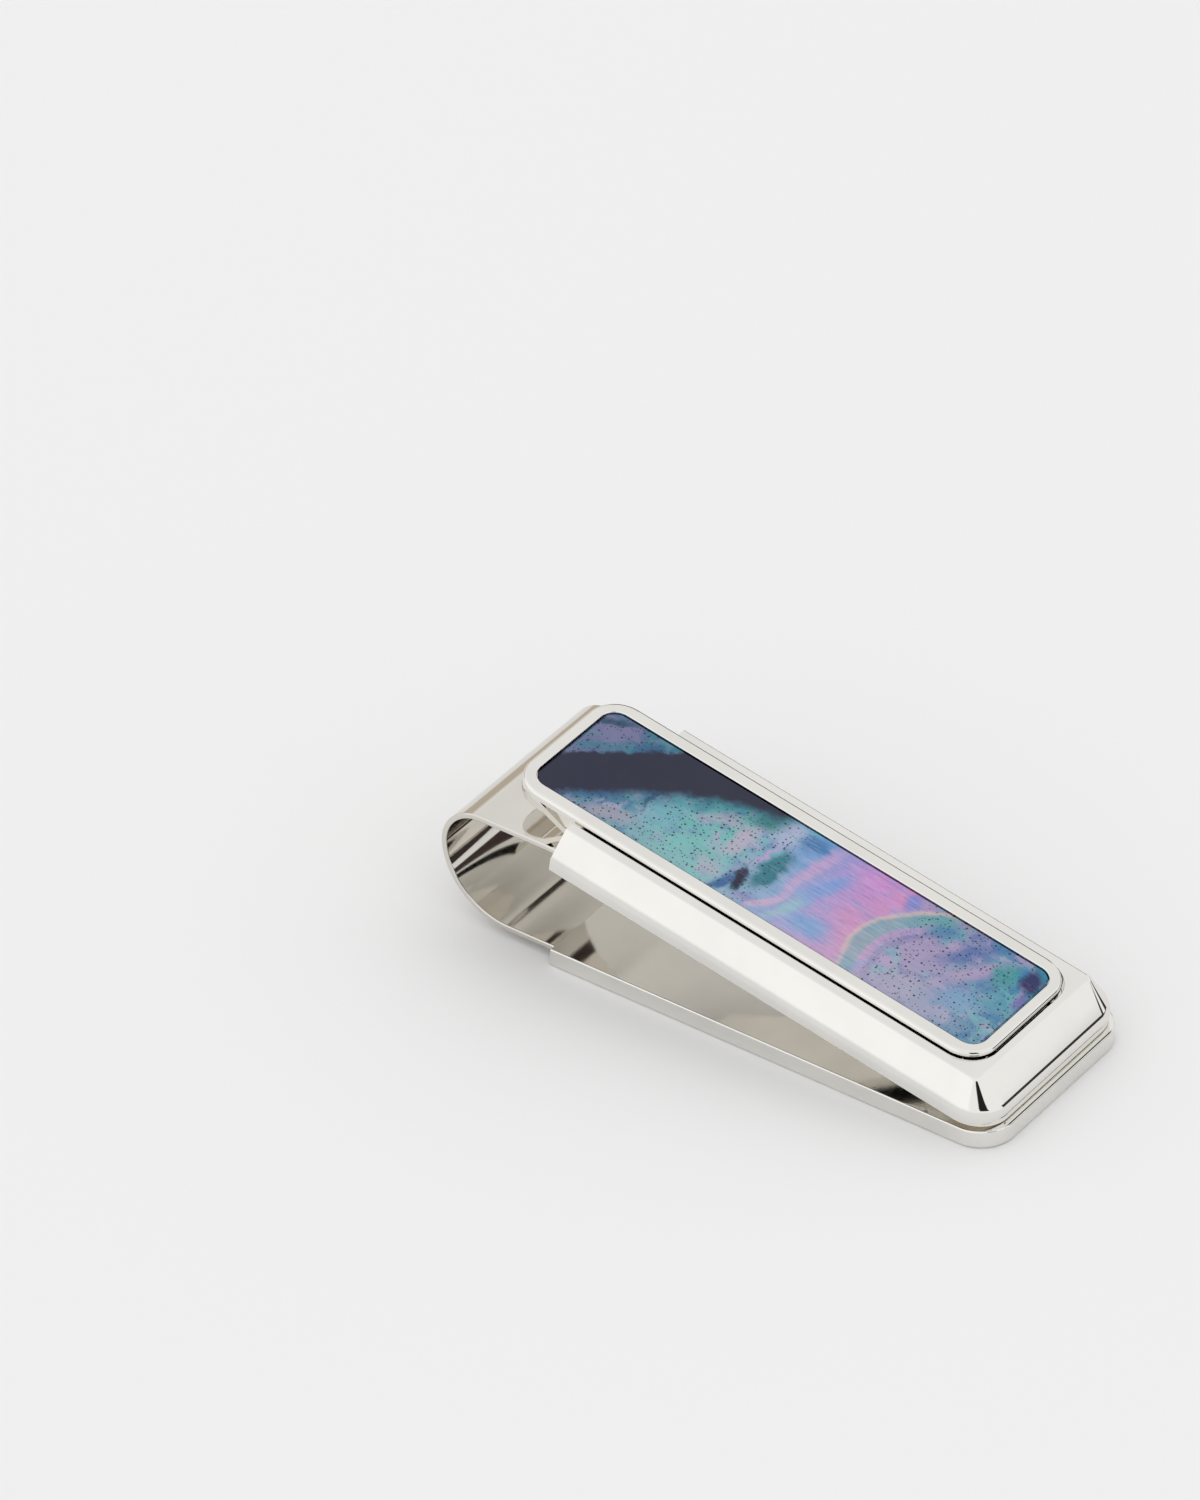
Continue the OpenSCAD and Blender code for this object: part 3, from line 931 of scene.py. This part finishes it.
# what the polished faces mirror: colour, azimuths from +X towards +Y, elevations and soft edge in degrees
STUDIO_AREAS = [
    (grey(0.93), (75, 150), (30, 62), 10),
    (grey(1.13), (-165, -75), (12, 60), 10),
    ((0.6, 0.53, 0.44, 1), (114, 178), (-5, 16), 9),
    ((0.05, 0.036, 0.034, 1), (28, 48), (-5, 16), 2.5),
    ((0.05, 0.04, 0.034, 1), (44, 120), (-5, 5), 3),
    ((0.05, 0.04, 0.034, 1), (104, 122), (-5, 22), 4),
    ((0.02, 0.018, 0.018, 1), (-37, -14), (14, 42), 3),
]


def studio():
    """A white studio, brighter on the near side, with dark and warm areas low down for the metal to mirror.
    Diffuse surfaces get an even light, and the camera sees a plain pale grey past the floor."""
    made = bpy.data.worlds.new("studio")
    bpy.context.scene.world = made
    made.use_nodes = True
    n = Nodes(made.node_tree)
    direction = n.node("ShaderNodeTexCoord").outputs["Generated"]
    x, y, z = n.node("ShaderNodeSeparateXYZ", Vector=direction).outputs
    azimuth = n.times(n.math("ARCTAN2", y, x), 180 / math.pi)
    elevation = n.times(n.math("ARCSINE", z), 180 / math.pi)
    light = grey(1.0)
    for colour, azimuths, elevations, soft in STUDIO_AREAS:
        area = n.times(n.within(azimuth, *azimuths, soft), n.within(elevation, *elevations, soft))
        light = n.mix(area, light, colour)
    rays = n.node("ShaderNodeLightPath").outputs
    light = n.mix(rays["Is Diffuse Ray"], light, grey(1.04))
    light = n.mix(rays["Is Camera Ray"], light, grey(0.86))
    background = made.node_tree.nodes["Background"]
    n.put(background.inputs["Color"], light)
    background.inputs["Strength"].default_value = 1.0


studio()


def camera(azimuth, elevation, roll, distance, look_at, focal):
    """azimuth turns from -Y towards +X, roll turns the picture, and focal is in mm on a 36 mm sensor."""
    a, e, r = (math.radians(v) for v in (azimuth, elevation, roll))
    back = Vector((math.sin(a) * math.cos(e), -math.cos(a) * math.cos(e), math.sin(e)))
    right = Vector((math.cos(a), math.sin(a), 0))
    up = back.cross(right)
    right, up = right * math.cos(r) + up * math.sin(r), up * math.cos(r) - right * math.sin(r)
    data = bpy.data.cameras.new("camera")
    data.lens, data.sensor_width = focal, 36
    data.clip_start, data.clip_end = 0.01, 20
    obj = bpy.data.objects.new("camera", data)
    bpy.context.scene.collection.objects.link(obj)
    turn = Matrix((right, up, back)).transposed()
    obj.matrix_world = Matrix.Translation(Vector(look_at) + back * distance) @ turn.to_4x4()
    bpy.context.scene.camera = obj


camera(
    azimuth=37.74, elevation=36.94, roll=-1.96, distance=0.967, look_at=(-0.03455, 0.01828, 0), focal=242.2
)

bpy.context.scene.view_settings.view_transform = "Standard"
